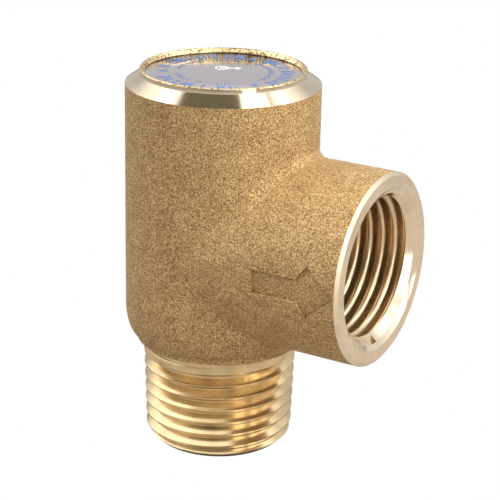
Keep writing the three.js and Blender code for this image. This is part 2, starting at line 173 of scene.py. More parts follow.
class StageSetup(bpy.types.PropertyGroup):
    """Camera and studio."""

    azimuth: angle("Azimuth", "Camera's turn round the valve", 30.27)
    elevation: angle("Elevation", "Camera's height above the horizon", 20.22)
    roll: angle("Roll", "Camera's roll", 1.195)
    distance: length("Distance", "Camera to its target", 237.64 * MM)
    lens: bpy.props.FloatProperty(name="Lens", description="Focal length in mm", default=125.95)
    target_x: length("Target X", "Target along the outlet", 4.59 * MM)
    target_z: length("Target Z", "Target above the inlet end", 27.98 * MM)


class ValveSettings(bpy.types.PropertyGroup):
    """All settings of the valve."""

    casting: bpy.props.PointerProperty(type=CastingSizes)
    threads: bpy.props.PointerProperty(type=ThreadSizes)
    plate_print: bpy.props.PointerProperty(type=PlatePrint)
    finishes: bpy.props.PointerProperty(type=Finishes)
    stage: bpy.props.PointerProperty(type=StageSetup)


def settings():
    return bpy.context.scene.relief_valve


# ---------------------------------------------------------------- shaping
def turned(profile, steps=128, face_material=0):
    """A closed solid turned about +Z from (radius, height) pairs."""
    bm = bmesh.new()
    verts = [bm.verts.new((r, 0, z)) for r, z in profile]
    edges = [bm.edges.new(pair) for pair in zip(verts, verts[1:])]
    if profile[0][0] > 0 or profile[-1][0] > 0:
        edges.append(bm.edges.new((verts[-1], verts[0])))
    bmesh.ops.spin(
        bm, geom=verts + edges, cent=(0, 0, 0), axis=UP, angle=TAU, steps=steps, use_merge=True
    )
    return closed(bm, face_material)


def closed(bm, face_material=0):
    """Merges doubles, turns the faces outwards and gives them one material index."""
    bmesh.ops.remove_doubles(bm, verts=bm.verts, dist=1e-7)
    bmesh.ops.recalc_face_normals(bm, faces=bm.faces)
    for face in bm.faces:
        face.material_index = face_material
    return bm


SHARP_THREAD = ((0, 0), (0.06, 0), (0.495, 1), (0.565, 1))
ROUND_THREAD = tuple((step / 12, 0.5 - 0.5 * math.cos(TAU * step / 12)) for step in range(12))


def threaded_rod(crest, depth, pitch, start, turns, taper=0, form=SHARP_THREAD, steps=144,
                 face_material=THREAD, fade=None):
    """A solid rod with a right-hand thread: one turn of spin climbs one pitch."""
    root = crest - depth
    profile = [(0, start)]
    for turn in range(turns):
        base = start + turn * pitch
        profile += [(root + depth * height, base + share * pitch) for share, height in form]
    profile += [(root, start + turns * pitch), (0, start + turns * pitch)]
    bm = bmesh.new()
    verts = [bm.verts.new((r, 0, z)) for r, z in profile]
    edges = [bm.edges.new(pair) for pair in zip(verts, verts[1:])]
    bmesh.ops.spin(
        bm, geom=verts + edges, cent=(0, 0, 0), axis=UP, dvec=UP * pitch / steps, angle=TAU,
        steps=steps
    )
    bmesh.ops.remove_doubles(bm, verts=bm.verts, dist=1e-7)
    bmesh.ops.holes_fill(bm, edges=[e for e in bm.edges if e.is_boundary], sides=0)
    for vert in bm.verts:
        radius = math.hypot(vert.co.x, vert.co.y)
        if radius > root / 2:
            wanted = radius - (start + turns * pitch - vert.co.z) * taper
            if fade:
                wanted = max(wanted, fade(vert.co.z))
            vert.co.x *= wanted / radius
            vert.co.y *= wanted / radius
    return closed(bm, face_material)


def loose(bm, name="work"):
    """A working object made from a bmesh, which is used up."""
    mesh = bpy.data.meshes.new(name)
    bm.to_mesh(mesh)
    bm.free()
    for _ in range(MOUTH + 1):
        mesh.materials.append(None)
    work = bpy.data.objects.new(name, mesh)
    bpy.context.collection.objects.link(work)
    return work


def evaluated(work, *others):
    """The bmesh of a working object with its modifiers applied; the working objects go."""
    depsgraph = bpy.context.evaluated_depsgraph_get()
    mesh = bpy.data.meshes.new_from_object(work.evaluated_get(depsgraph))
    bm = bmesh.new()
    bm.from_mesh(mesh)
    bpy.data.meshes.remove(mesh)
    for used in (work, *others):
        old = used.data
        bpy.data.objects.remove(used)
        bpy.data.meshes.remove(old)
    return bm


def combined(base, tool, operation):
    """Base with the tool cut from it, joined to it or crossed with it."""
    work, cutter = loose(base), loose(tool, "tool")
    boolean = work.modifiers.new("combine", "BOOLEAN")
    boolean.object = cutter
    boolean.operation = operation
    boolean.solver = "MANIFOLD"
    return evaluated(work, cutter)


def cut(base, tool):
    return combined(base, tool, "DIFFERENCE")


def joined(base, tool):
    return combined(base, tool, "UNION")


def crossed(base, tool):
    return combined(base, tool, "INTERSECT")


def remeshed(bm, cell):
    """Even surface mesh of a solid, with its sharp edges slightly rounded."""
    work = loose(bm)
    remesh = work.modifiers.new("skin", "REMESH")
    remesh.mode = "VOXEL"
    remesh.voxel_size = cell
    return evaluated(work)


def softened(bm, width, segments=2):
    """Rounds the sharp edges."""
    sharp = [e for e in bm.edges if e.is_manifold and e.calc_face_angle() > SHARP]
    bmesh.ops.bevel(
        bm, geom=sharp, offset=width, offset_type="OFFSET", segments=segments, profile=0.5,
        affect="EDGES", clamp_overlap=True, material=-1
    )
    return bm


def rotate(bm, verts, turn, axis="Z"):
    bmesh.ops.rotate(bm, verts=verts, cent=(0, 0, 0), matrix=Matrix.Rotation(turn, 3, axis))


def move(bm, verts, x, y, z):
    bmesh.ops.translate(bm, verts=verts, vec=(x, y, z))


def block(bm, size, x, y, z):
    """Adds a box with its middle at a place."""
    made = bmesh.ops.create_cube(bm, size=1)["verts"]
    bmesh.ops.scale(bm, verts=made, vec=size)
    move(bm, made, x, y, z)
    return made


def prism(bm, segments, radius, height):
    """Adds an upright prism with its middle at the origin."""
    return bmesh.ops.create_cone(
        bm, cap_ends=True, segments=segments, radius1=radius, radius2=radius, depth=height
    )["verts"]


def round_section(bm, segments, radius, x, z):
    """Adds a circle in the XZ plane, ready to be spun about +Z."""
    made = bmesh.ops.create_circle(bm, cap_ends=False, segments=segments, radius=radius)["verts"]
    rotate(bm, made, TAU / 4, "X")
    move(bm, made, x, 0, z)


def to_outlet(bm):
    """Turns a solid made about +Z so that it lies about the outlet axis."""
    rotate(bm, bm.verts, TAU / 4, "Y")
    move(bm, bm.verts, 0, 0, settings().casting.outlet_height)
    return bm


def spun(bm, turn):
    """Turns a solid about +Z."""
    rotate(bm, bm.verts, turn)
    return bm


def piece(bm, name, finishes, body, nodes=()):
    """The finished object of a piece, riding on its body."""
    mesh = bpy.data.meshes.new(name)
    bm.to_mesh(mesh)
    bm.free()
    for finish in finishes:
        mesh.materials.append(finish_named(finish))
    mesh.shade_smooth()
    mesh.set_sharp_from_angle(angle=SHARP)
    made = bpy.data.objects.new(name, mesh)
    bpy.context.collection.objects.link(made)
    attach(made, body)
    if nodes:
        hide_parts(*nodes)
    return made


# ---------------------------------------------------------------- finishes
class Nodes:
    """A material or group under construction."""

    def __init__(self, tree):
        self.tree = tree

    def feed(self, socket, value):
        """Links an input to a socket or sets its value."""
        if isinstance(value, bpy.types.NodeSocket):
            self.tree.links.new(value, socket)
        else:
            socket.default_value = value

    def fill(self, node, **values):
        """Sets a node's properties and inputs by name."""
        for key, value in values.items():
            if hasattr(node, key):
                setattr(node, key, value)
            else:
                self.feed(node.inputs[key.replace("_", " ")], value)
        return node

    def add(self, kind, **values):
        return self.fill(self.tree.nodes.new("ShaderNode" + kind), **values)

    def ramp(self, source, *stops):
        node = self.add("ValToRGB", Fac=source)
        elements = node.color_ramp.elements
        while len(elements) < len(stops):
            elements.new(0.5)
        for element, (position, value) in zip(elements, stops):
            element.position = position
            element.color = rgba(value) if isinstance(value, tuple) else rgba((value,) * 3)
        return node.outputs["Color"]

    def mix(self, share, first, second, blend="MIX"):
        node = self.add("Mix", data_type="RGBA", blend_type=blend)
        for place, value in ((0, share), (6, first), (7, second)):
            self.feed(node.inputs[place], value)
        return node.outputs[2]

    def math(self, operation, *values):
        node = self.add("Math", operation=operation)
        for socket, value in zip(node.inputs, values):
            self.feed(socket, value)
        return node.outputs[0]


def rgba(value):
    return (*value, 1)


def group_tree(name, inputs, outputs):
    tree = bpy.data.node_groups.new(name, "ShaderNodeTree")
    for label, kind, default in inputs:
        socket = tree.interface.new_socket(name=label, in_out="INPUT", socket_type=kind)
        socket.default_value = default
    for label, kind in outputs:
        tree.interface.new_socket(name=label, in_out="OUTPUT", socket_type=kind)
    return tree, tree.nodes.new("NodeGroupInput"), tree.nodes.new("NodeGroupOutput")


def sand_grain_group():
    """Fine cast grain: a mask of raised grains, a slow blotch, and a normal."""
    tree, source, sink = group_tree(
        "Sand grain",
        (("Vector", "NodeSocketVector", (0, 0, 0)), ("Scale", "NodeSocketFloat", 4600),
         ("Depth", "NodeSocketFloat", 0.00005)),
        (("Grain", "NodeSocketFloat"), ("Blotch", "NodeSocketFloat"),
         ("Normal", "NodeSocketVector")),
    )
    made = Nodes(tree)
    vector = source.outputs["Vector"]
    fine = made.add("TexNoise", Vector=vector, Scale=source.outputs["Scale"], Detail=2.0,
                    Roughness=0.6).outputs["Fac"]
    coarse = made.add("TexNoise", Vector=vector, Scale=420.0, Detail=3.0, Roughness=0.55)
    bump = made.add("Bump", Height=fine, Distance=source.outputs["Depth"], Strength=1.0)
    made.fill(sink, Grain=fine, Blotch=coarse.outputs["Fac"], Normal=bump.outputs["Normal"])
    return tree


def tool_marks_group():
    """Turning marks along an axis: streaks across it that run round the part, and a normal."""
    tree, source, sink = group_tree(
        "Tool marks",
        (("Vector", "NodeSocketVector", (0, 0, 0)), ("Depth", "NodeSocketFloat", 0.000004)),
        (("Marks", "NodeSocketFloat"), ("Smudge", "NodeSocketFloat"),
         ("Normal", "NodeSocketVector")),
    )
    made = Nodes(tree)
    vector = source.outputs["Vector"]
    x, y, z = made.add("SeparateXYZ", Vector=vector).outputs
    square = made.math("ADD", made.math("MULTIPLY", x, x), made.math("MULTIPLY", y, y))
    fine, stretched = 9000.0, 0.6
    profile = made.add(
        "CombineXYZ", X=made.math("MULTIPLY", made.math("SQRT", square), fine),
        Y=made.math("MULTIPLY", z, fine),
        Z=made.math("MULTIPLY", made.math("ARCTAN2", y, x), stretched),
    )
    marks = made.add("TexNoise", Vector=profile.outputs[0], Scale=1.0, Detail=2.0).outputs["Fac"]
    smudge = made.add("TexNoise", Vector=vector, Scale=260.0, Detail=3.0)
    bump = made.add("Bump", Height=marks, Distance=source.outputs["Depth"], Strength=1.0)
    made.fill(sink, Marks=marks, Smudge=smudge.outputs["Fac"], Normal=bump.outputs["Normal"])
    return tree


def shared_group(name):
    """The named effect group, built the first time it is asked for."""
    builders = {"Sand grain": sand_grain_group, "Tool marks": tool_marks_group}
    return bpy.data.node_groups.get(name) or builders[name]()


def new_finish(name, **principled):
    """A material, its Principled shader and its object coordinates."""
    material = bpy.data.materials.new(name)
    material.use_nodes = True
    made = Nodes(material.node_tree)
    shader = made.fill(material.node_tree.nodes["Principled BSDF"], **principled)
    return material, made, shader, made.add("TexCoord").outputs["Object"]


def effect(made, name, vector, **values):
    return made.add("Group", node_tree=shared_group(name), Vector=vector, **values)


def cast_bronze():
    """Blasted sand-cast skin: grain colour over brown hollows, with slow golden blotches. The grain
    speckle also holds painted light, with painted glints on the bright grains and painted shade in
    the hollows.
    """
    finish = settings().finishes
    material, made, shader, place = new_finish("Cast bronze", Metallic=0.5)
    grain = effect(made, "Sand grain", place, Scale=4400.0, Depth=0.00015)
    # Grain colour, with painted shade in the hollows and painted glints on the bright grains
    # standing in for the light on the grains.
    grain_tone_and_shade = made.ramp(grain.outputs["Grain"], (0.34, tuple(finish.cast_dark_and_hollow_shade)),
                        (0.50, (0.49, 0.325, 0.145)), (0.66, tuple(finish.cast_grain_and_glint)))
    blotch = made.ramp(grain.outputs["Blotch"], (0.35, (0.84, 0.80, 0.78)),
                       (0.65, (1.0, 1.0, 1.0)))
    made.fill(shader, Base_Color=made.mix(1.0, grain_tone_and_shade, blotch, "MULTIPLY"),
              Roughness=made.ramp(grain.outputs["Grain"], (0.35, 0.66), (0.65, 0.40)),
              Normal=grain.outputs["Normal"])
    return material


def machined(name, base, roughness, depth, smudge_dark=0.86):
    """Turned bronze: tool marks round the axis and faint smudges."""
    material, made, shader, place = new_finish(name, Metallic=1.0)
    marks = effect(made, "Tool marks", place, Depth=depth)
    smudge = made.ramp(marks.outputs["Smudge"], (0.30, smudge_dark), (0.62, 1.0))
    rough = made.ramp(marks.outputs["Marks"], (0.3, roughness * 0.8), (0.7, roughness * 1.25))
    made.fill(shader, Base_Color=made.mix(1.0, rgba(base), smudge, "MULTIPLY"), Roughness=rough,
              Normal=marks.outputs["Normal"])
    return material


def outlet_machined(name, base, roughness, depth):
    """Turned bronze whose tool marks run round the outlet axis."""
    material = machined(name, base, roughness, depth)
    made = Nodes(material.node_tree)
    nodes = material.node_tree.nodes
    coordinates = next(n for n in nodes if n.bl_idname == "ShaderNodeTexCoord")
    marks = next(n for n in nodes if n.bl_idname == "ShaderNodeGroup")
    turn = made.add("Mapping", Vector=coordinates.outputs["Object"],
                    Location=(settings().casting.outlet_height, 0, 0), Rotation=(0, -TAU / 4, 0))
    made.fill(marks, Vector=turn.outputs["Vector"])
    return material


def rolled_lip():
    """Crimped edge: bright metal with dark flecks where the tool dragged over the cast skin."""
    finish = settings().finishes
    material, made, shader, place = new_finish("Rolled lip", Metallic=1.0)
    grain = effect(made, "Sand grain", place, Scale=2600.0, Depth=0.00004)
    flecks = made.ramp(grain.outputs["Grain"], (0.38, tuple(finish.cast_dark_and_hollow_shade)),
                       (0.50, tuple(finish.brass)))
    made.fill(shader, Base_Color=flecks, Normal=grain.outputs["Normal"],
              Roughness=made.ramp(grain.outputs["Grain"], (0.38, 0.5), (0.55, 0.25)))
    return material


def moulded_rubber():
    finish = settings().finishes
    material, made, shader, place = new_finish("Moulded rubber", Metallic=0.0)
    grain = effect(made, "Sand grain", place, Scale=2600.0, Depth=0.00001)
    tone = made.ramp(grain.outputs["Blotch"], (0.3, tuple(0.8 * c for c in finish.rubber)),
                     (0.7, tuple(finish.rubber)))
    made.fill(shader, Base_Color=tone, Normal=grain.outputs["Normal"],
              Roughness=made.ramp(grain.outputs["Grain"], (0.3, 0.6), (0.7, 0.75)))
    return material


def plate_metal():
    """Bright plate with a faint rolled grain."""
    finish = settings().finishes
    material, made, shader, place = new_finish("Nameplate metal", Metallic=1.0)
    stretch = made.add("Mapping", Vector=place, Scale=(900, 9000, 900))
    grain = made.add("TexNoise", Vector=stretch.outputs["Vector"], Scale=1.0,
                     Detail=3.0).outputs["Fac"]
    bump = made.add("Bump", Height=grain, Strength=1.0, Distance=0.0000005)
    tone = made.ramp(grain, (0.3, tuple(0.93 * c for c in finish.plate)),
                     (0.7, tuple(finish.plate)))
    made.fill(shader, Base_Color=tone, Roughness=made.ramp(grain, (0.3, 0.12), (0.7, 0.18)),
              Normal=bump.outputs["Normal"])
    return material


def plate_ink():
    finish = settings().finishes
    material, made, shader, place = new_finish("Plate ink", Metallic=0.0)
    wear = made.add("TexNoise", Vector=place, Scale=2500.0, Detail=3.0).outputs["Fac"]
    tone = made.ramp(wear, (0.35, tuple(finish.print_blue)),
                     (0.75, tuple(min(1, 2.2 * c) for c in finish.print_blue)))
    made.fill(shader, Base_Color=tone, Roughness=made.ramp(wear, (0.3, 0.35), (0.7, 0.5)))
    return material


def stamped_mark():
    material, made, shader, place = new_finish("Stamped mark", Metallic=0.3)
    wear = made.add("TexNoise", Vector=place, Scale=3000.0, Detail=2.0).outputs["Fac"]
    made.fill(shader, Base_Color=made.ramp(wear, (0.3, (0.86, 0.85, 0.84)), (0.7, (1, 1, 1))),
              Roughness=made.ramp(wear, (0.3, 0.3), (0.7, 0.45)))
    return material


def finish_named(name):
    """A finish, made the first time a piece asks for it."""
    finish = settings().finishes
    turned_ones = {
        "Bright rim": (finish.pale_brass, 0.10, 0.0000008),
        "Cut thread": (finish.golden_brass, 0.20, 0.000006, 0.7),
        "Turned bore": (finish.bore_brass, 0.28, 0.000004, 0.75),
        "Turned brass": (finish.trim, 0.22, 0.000003),
        "Turned steel": (finish.steel, 0.25, 0.000003),
        "Spring wire": (finish.steel, 0.3, 0.000003, 0.7),
    }
    outlet_ones = {
        "Satin face": (finish.pale_brass, 0.36, 0.000002),
        "Tapped thread": (finish.bore_brass, 0.22, 0.000008),
        "Bright mouth": (finish.pale_brass, 0.15, 0.000001),
    }
    others = {
        "Cast bronze": cast_bronze,
        "Rolled lip": rolled_lip,
        "Moulded rubber": moulded_rubber,
        "Nameplate metal": plate_metal,
        "Plate ink": plate_ink,
        "Stamped mark": stamped_mark,
    }
    made = bpy.data.materials.get(name)
    if made:
        return made
    if name in turned_ones:
        return machined(name, *turned_ones[name])
    if name in outlet_ones:
        return outlet_machined(name, *outlet_ones[name])
    return others[name]()


# ---------------------------------------------------------------- valve body
def shoulder_profile():
    """Neck band and rounded shoulder, from the neck's lower edge up to the barrel."""
    size = settings().casting
    low = size.neck_height + size.neck_band
    start = size.neck_radius + size.shoulder_step
    rise = size.barrel_radius - start
    profile = [(size.neck_radius, size.neck_height), (size.neck_radius, low)]
    for step in range(17):
        turn = TAU / 4 * step / 16
        profile.append((start + rise * math.sin(turn),
                        low + size.shoulder_height * (1 - math.cos(turn))))
    return profile


def flow_arrow():
    """Tool for the arrow's pocket: a drafted arrow, less the round floor it leaves."""
    size = settings().casting
    tail, root, barb, tip = (12.7 * MM, 18.75 * MM, 20.05 * MM, 23.8 * MM)
    shaft, head = 1.45 * MM, 3.25 * MM
    outline = ((tail, -shaft), (root, -shaft), (barb, -head), (tip, 0), (barb, head),
               (root, shaft), (tail, shaft))
    bm = bmesh.new()
    deep = -(size.boss_radius - 2.0 * MM)
    face = bm.faces.new([bm.verts.new((x, deep, size.outlet_height + z)) for x, z in outline])
    out = bmesh.ops.extrude_face_region(bm, geom=[face])["geom"]
    lifted = [v for v in out if isinstance(v, bmesh.types.BMVert)]
    bmesh.ops.translate(bm, verts=lifted, vec=(0, -3.0 * MM, 0))
    middle = Vector((18.6 * MM, 0, size.outlet_height))
    bmesh.ops.scale(bm, verts=lifted, vec=(1.12, 1, 1.2), space=Matrix.Translation(-middle))
    floor = size.boss_radius - size.arrow_depth
    core = to_outlet(turned([(0, 0), (floor, 0), (floor, 30 * MM), (0, 30 * MM)], 192))
    return cut(closed(bm, CAST), core)


def barrel_radius_at(z):
    """Outside radius of the barrel and shoulder at a height."""
    size = settings().casting
    low = size.neck_height + size.neck_band
    share = min(max((z - low) / size.shoulder_height, 0), 1)
    start = size.neck_radius + size.shoulder_step
    if z < low:
        return size.neck_radius
    return start + (size.barrel_radius - start) * math.sqrt(1 - (1 - share) ** 2)


def skin_detail(bm):
    """Rounds the crease between barrel and boss and roughens the cast skin inwards."""
    size = settings().casting
    crease = size.crease
    bm.normal_update()
    for vert in bm.verts:
        x, y, z = vert.co
        across = math.hypot(x, y)
        above = z - size.outlet_height
        around = math.hypot(y, above)
        barrel_gap = across - barrel_radius_at(z)
        boss_gap = around - size.boss_radius
        near = crease - abs(barrel_gap - boss_gap)
        if x > 0 and near > 0:
            from_barrel = Vector((x, y, 0)) / across
            from_boss = Vector((0, y, above)) / around
            lean = from_barrel + from_boss
            sharpness = 1 - from_barrel.dot(from_boss)
            vert.co += lean.normalized() * (near * near / (2 * crease * lean.length) * sharpness)
        spot = vert.co / MM
        lumps = noise.noise(spot * 0.35) + 0.5 * noise.noise(spot * 1.3)
        grit = noise.noise(spot * 3.1)
        inward = 0.5 + 0.25 * lumps + 0.45 * grit
        vert.co -= vert.normal * size.skin_depth * max(inward, 0)
    return bm


def casting():
    """The cast blank: barrel and outlet boss with the flow arrow sunk into it."""
    size = settings().casting
    top = BODY_HIGH.z + 1.0 * MM
    bottom = size.neck_height - 0.8 * MM
    profile = shoulder_profile()
    profile[0] = (size.neck_radius, bottom)
    barrel = turned([(0, bottom), *profile, (size.barrel_radius, top), (0, top)], 192)
    end = BODY_HIGH.x + 0.8 * MM
    boss = to_outlet(turned(
        [(0, 0), (size.boss_radius, 0), (size.boss_radius, end), (0, end)], 192
    ))
    return cut(skin_detail(remeshed(joined(barrel, boss), size.skin_cell)), flow_arrow())


def inlet_stub():
    """Threaded inlet with its lead chamfer and the plain band under the neck."""
    thread = settings().threads
    size = settings().casting
    crest, pitch = thread.inlet_crest, thread.pitch
    top = size.neck_height + 2.0 * MM
    relief, relief_start = crest - 0.12 * MM, thread.inlet_length + 0.75 * MM
    runout = thread.inlet_length - 0.7 * pitch

    def fade(z):
        return min(crest - thread.depth + max(z - runout, 0) * 0.6, relief)

    turns = math.ceil(top / pitch) + 1
    start = thread.inlet_length + pitch / 2 - turns * pitch
    rod = threaded_rod(crest, thread.depth, pitch, start, turns, taper=PIPE_TAPER, fade=fade)
    rod = spun(rod, thread.inlet_phase)
    band = turned([(0, thread.inlet_length - pitch), (relief - MM, thread.inlet_length - pitch),
                   (relief - MM, relief_start - 0.3 * MM), (relief, relief_start), (relief, top),
                   (0, top)], 144, THREAD)
    rod = joined(rod, band)
    end = crest - thread.inlet_length * PIPE_TAPER - 1.1 * MM
    flare = 3.0 * MM
    blank = turned([(0, 0), (end - 0.15 * MM, 0), (end, 0.1 * MM), (end + flare, flare),
                    (end + flare, top), (0, top)], 144, THREAD)
    return crossed(rod, blank)


def lip_foot():
    """Height where the lip rises from the chamfer."""
    return BODY_HIGH.z - 0.72 * MM


def rim_tool():
    """Turns the chamfer below the lip."""
    foot, slope, out = lip_foot(), 0.69, 15 * MM
    inner = LIP_RADIUS - 0.02 * MM
    return turned([
        (inner, foot), (out, foot - (out - inner) * slope), (out, BODY_HIGH.z + OVERCUT),
        (inner, BODY_HIGH.z + OVERCUT),
    ], 256, RIM)


def lip_tool():
    """Rounds the outside and the crest of the crimped lip."""
    radius, top, foot = LIP_RADIUS, BODY_HIGH.z, lip_foot()
    return turned([
        (radius + 2 * MM, foot + 0.02 * MM), (radius, foot + 0.02 * MM),
        (radius - 0.01 * MM, top - 0.25 * MM), (radius - 0.05 * MM, top - 0.10 * MM),
        (radius - 0.12 * MM, top - 0.02 * MM), (radius - 0.20 * MM, top),
        (0, top), (0, top + OVERCUT), (radius + 2 * MM, top + OVERCUT),
    ], 256, LIP)


def recess_tool():
    """Bores the nameplate's recess under the rolled-in lip."""
    plate, plate_top, top = PLATE_HIGH.x, PLATE_HIGH.z, BODY_HIGH.z
    ledge = PLATE_LEDGE
    profile = [(0, ledge), (plate + 0.1 * MM, ledge), (plate + 0.1 * MM, plate_top + 0.02 * MM),
               (plate - 0.45 * MM, plate_top + 0.04 * MM),
               (plate - 0.42 * MM, plate_top + 0.14 * MM), (plate - 0.10 * MM, top - 0.08 * MM),
               (plate, top - 0.01 * MM), (plate + 0.02 * MM, top + OVERCUT), (0, top + OVERCUT)]
    return turned(profile, 256, LIP)


def outlet_face_tool():
    """Faces the outlet and breaks its outer edge."""
    size = settings().casting
    face, edge = BODY_HIGH.x, size.boss_radius - 0.56 * MM
    out = size.boss_radius + 1.5 * MM
    return to_outlet(turned([
        (0, face), (edge, face), (out, face - (out - edge) * 0.72), (out, face + OVERCUT),
        (0, face + OVERCUT),
    ], 256, FACE))


def outlet_mouth_tool():
    """Countersink in two slopes, and the plain bore behind the thread."""
    thread = settings().threads
    face, crest = BODY_HIGH.x, thread.outlet_crest
    back = face - COUNTERSINK - thread.outlet_length
    mouth = [(0, face - OVERCUT), (crest - 0.2 * MM, face - OVERCUT), (crest, face - COUNTERSINK),
             (crest + 0.90 * MM, face - 0.50 * MM), (crest + 0.96 * MM, face - 0.48 * MM),
             (crest + 1.66 * MM, face), (crest + 1.66 * MM, face + MM), (0, face + MM)]
    bore = [(0, 0), (crest - MM, 0), (crest - MM, back - 0.7 * MM), (crest - 0.3 * MM, back),
            (crest - 0.3 * MM, back + MM), (0, back + MM)]
    return joined(to_outlet(turned(mouth, 256, MOUTH)), to_outlet(turned(bore, 128, BORE)))


def outlet_thread_tool():
    """Tap for the outlet, tapering inwards and ending at the countersink."""
    thread = settings().threads
    first = BODY_HIGH.x - COUNTERSINK
    turns = round((thread.outlet_length + 3 * MM) / thread.pitch)
    start = first + 0.05 * MM - turns * thread.pitch
    crest = thread.outlet_crest + thread.depth
    tap = threaded_rod(crest, thread.depth, thread.pitch, start, turns, taper=PIPE_TAPER,
                       form=ROUND_THREAD, face_material=TAPPED)
    return to_outlet(spun(tap, thread.outlet_phase))


def chamber_tool():
    """Spring chamber, raised seat, and the wider bore for the plug's thread."""
    chamber, floor = 9.15 * MM, settings().casting.neck_height + 2.5 * MM
    seat, nozzle = VALVE_SEAT, 6.4 * MM
    bore_top, thread_wall = PLUG_HIGH.z - 5.9 * MM, 10.06 * MM
    ledge = PLATE_LEDGE
    return turned([
        (0, seat), (nozzle - 0.1 * MM, seat), (nozzle, seat - 0.1 * MM),
        (nozzle + 0.8 * MM, floor + 0.3 * MM), (nozzle + 1.1 * MM, floor),
        (chamber - 0.4 * MM, floor), (chamber, floor + 0.4 * MM), (chamber, bore_top),
        (thread_wall, bore_top + 0.02 * MM), (thread_wall, ledge - 0.3 * MM),
        (thread_wall + 0.3 * MM, ledge + 0.01 * MM), (0, ledge + 0.01 * MM),
    ], 160, BORE)


def inlet_bore_tool():
    """Inlet bore, throat and orifice."""
    size = settings().casting
    bore, orifice, throat = 7.53 * MM, 5.4 * MM, size.neck_height + 0.2 * MM
    seat = VALVE_SEAT
    return turned([
        (0, -MM), (bore + 0.3 * MM, -MM), (bore + 0.3 * MM, 0), (bore, 0.3 * MM),
        (bore, throat - (bore - orifice)), (orifice, throat), (orifice, seat + MM), (0, seat + MM),
    ], 160, BORE)


def neck_tool():
    """Faces the underside of the neck."""
    height = settings().casting.neck_height
    return turned([(0, height - OVERCUT), (16 * MM, height - OVERCUT), (16 * MM, height),
                   (0, height)], 96, CAST)


def valve_body_mesh():
    body = cut(casting(), neck_tool())
    body = joined(body, inlet_stub())
    for tool in (rim_tool, lip_tool, recess_tool, outlet_face_tool, outlet_mouth_tool,
                 outlet_thread_tool, chamber_tool, inlet_bore_tool):
        body = cut(body, tool())
    return body


class VALVE_OT_body(bpy.types.Operator):
    """Build the cast and machined valve body"""

    bl_idname = "relief_valve.body"
    bl_label = "Valve Body"

    def execute(self, context):
        finishes = ("Cast bronze", "Bright rim", "Satin face", "Cut thread", "Turned bore",
                    "Rolled lip", "Tapped thread", "Bright mouth")
        piece(valve_body_mesh(), "valve_body_cast", finishes, "body", ["valve_body"])
        return {"FINISHED"}


# ---------------------------------------------------------------- nameplate
def bar(bm, radius, turn, along, across, low, high):
    """A flat bar on the plate, its length along the radius."""
    rotate(bm, block(bm, (along, across, high - low), radius, 0, (high + low) / 2), turn)


def pointer(bm, radius, low, high):
    """A three-sided prism on the plate, its tip towards +X."""
    made = prism(bm, 3, radius, high - low)
    rotate(bm, made, -TAU / 4)
    return made


def wedge(bm, radius, turn, size, low, high):
    """A solid pointer on the plate, its tip outwards."""
    made = pointer(bm, size * 0.6, low, high)
    bmesh.ops.scale(bm, verts=made, vec=(1.15, 0.62, 1))
    move(bm, made, radius, 0, (high + low) / 2)
    rotate(bm, made, turn)


def graduations():
    """Two rows of graduation bars in three arcs, with a wedge between the arcs."""
    row = settings().plate_print
    top = PLATE_HIGH.z
    low, high = top - 0.01 * MM, top + row.ink
    chance = random.Random(11)
    facing = settings().stage.azimuth
    bm = bmesh.new()
    for third in range(3):
        start = facing + math.radians(61) + third * TAU / 3
        wedge(bm, row.outer_row - 0.4 * MM, start, row.wedge, low, high)
        for radius, length_along, step in ((row.outer_row, row.outer_bar, 5.2),
                                           (row.inner_row, row.inner_bar, 4.6)):
            turn = start + math.radians(12)
            while turn < start + math.radians(108):
                along = length_along * chance.choice((1.0, 1.0, 0.72))
                across = chance.choice((0.22, 0.34, 0.5)) * MM * length_along / row.outer_bar
                if chance.random() > 0.1:
                    bar(bm, radius, turn, along, across, low, high)
                turn += math.radians(step) * chance.uniform(0.85, 1.15)
    return closed(bm)


def centre_symbol():
    """Raised drawing symbol of a relief valve: a square with an arrow across it."""
    top = PLATE_HIGH.z
    low, high = top - 0.01 * MM, top + 0.03 * MM
    middle = (high + low) / 2
    bm = bmesh.new()
    side, line = 1.5 * MM, 0.2 * MM
    for quarter in range(4):
        bar(bm, side / 2, quarter * TAU / 4, line, side + line, low, high)
    block(bm, (2.4 * MM, line, high - low), 0.9 * MM, 0, middle + 0.002 * MM)
    move(bm, pointer(bm, 0.45 * MM, low, high), 2.1 * MM, 0, middle + 0.004 * MM)
    move(bm, bm.verts, -0.3 * MM, 1.9 * MM, 0)
    rotate(bm, bm.verts, settings().stage.azimuth)
    return closed(bm)


class VALVE_OT_nameplate(bpy.types.Operator):
    """Build the nameplate with its graduations and symbol"""

    bl_idname = "relief_valve.nameplate"
    bl_label = "Nameplate"

    def execute(self, context):
        radius, low, top = PLATE_HIGH.x, PLATE_LOW.z, PLATE_HIGH.z
        plate = turned([
            (0, low), (radius - 0.1 * MM, low), (radius, low + 0.1 * MM),
            (radius, top - 0.16 * MM), (radius - 0.05 * MM, top - 0.05 * MM),
            (radius - 0.16 * MM, top), (0, top),
        ], 192)
        piece(plate, "nameplate_disc", ["Nameplate metal"], "body", ["nameplate"])
        piece(graduations(), "nameplate_graduations", ["Plate ink"], "body")
        piece(centre_symbol(), "nameplate_symbol", ["Stamped mark"], "body")
        return {"FINISHED"}


# ---------------------------------------------------------------- disc stack
SHANK_HOLE = 1.85 * MM


def pierced(low, high):
    """A round plate that fills a box, with the hole for the shank."""
    return turned([(SHANK_HOLE, low.z), (high.x, low.z), (high.x, high.z), (SHANK_HOLE, high.z)])


